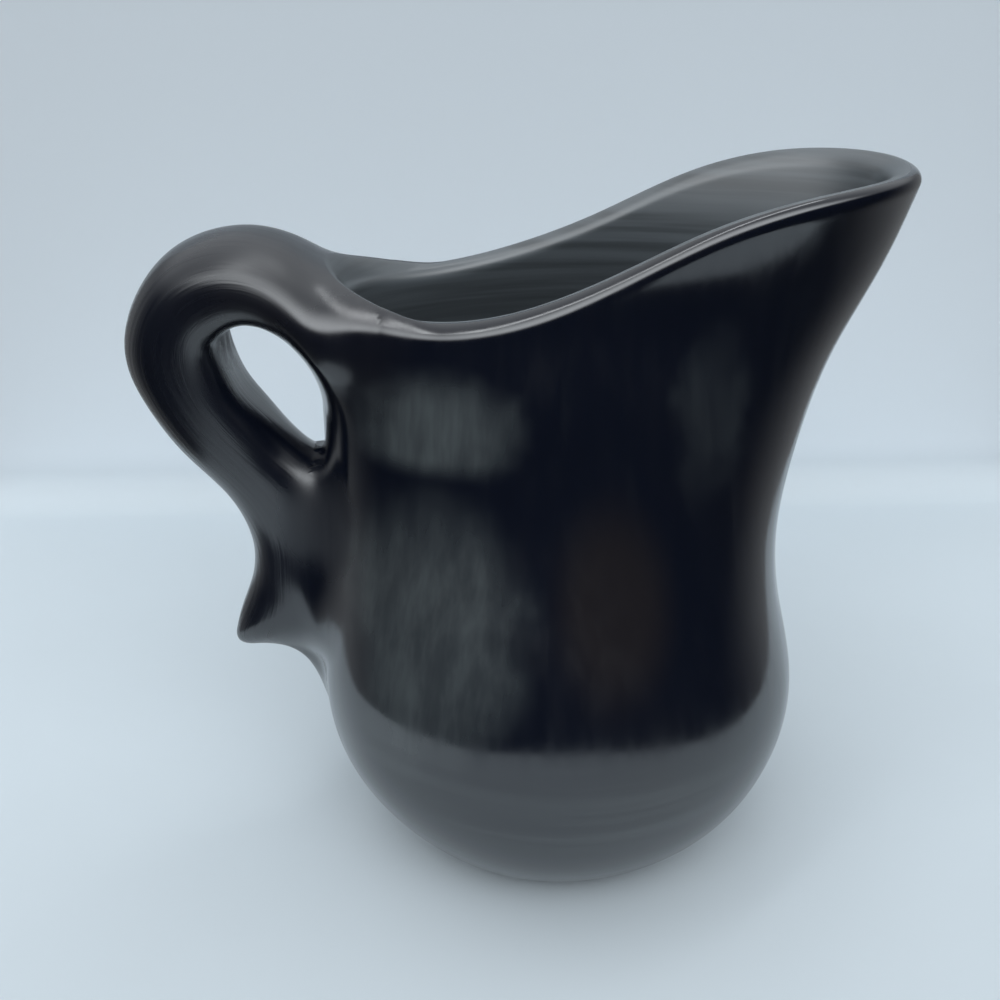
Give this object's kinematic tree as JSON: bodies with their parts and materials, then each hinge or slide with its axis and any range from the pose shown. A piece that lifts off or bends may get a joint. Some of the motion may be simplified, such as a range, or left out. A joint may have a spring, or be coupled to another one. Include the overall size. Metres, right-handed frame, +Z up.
{
  "type": "pottery pitcher",
  "caption": "Small burnished black earthenware pitcher with a round belly, a long beak spout and a thick lip running into a looped handle that ends in a pinched spur.",
  "frame": {"origin": "middle of the flat foot, on the table", "axes": "+Z up, +X to the spout, the handle at -X; the pitcher is the same on both sides of the XZ plane"},
  "size_m": [0.1471, 0.0982, 0.1422],
  "materials": {
    "black_clay": "smoke-blackened earthenware, burnished by hand to a soft gloss"
  },
  "bodies": {
    "root": {"base": "black_clay", "belly_wall": "black_clay", "neck_and_spout": "black_clay", "rim_lip": "black_clay", "handle_loop": "black_clay", "handle_spur": "black_clay"}
  },
  "joints": []
}
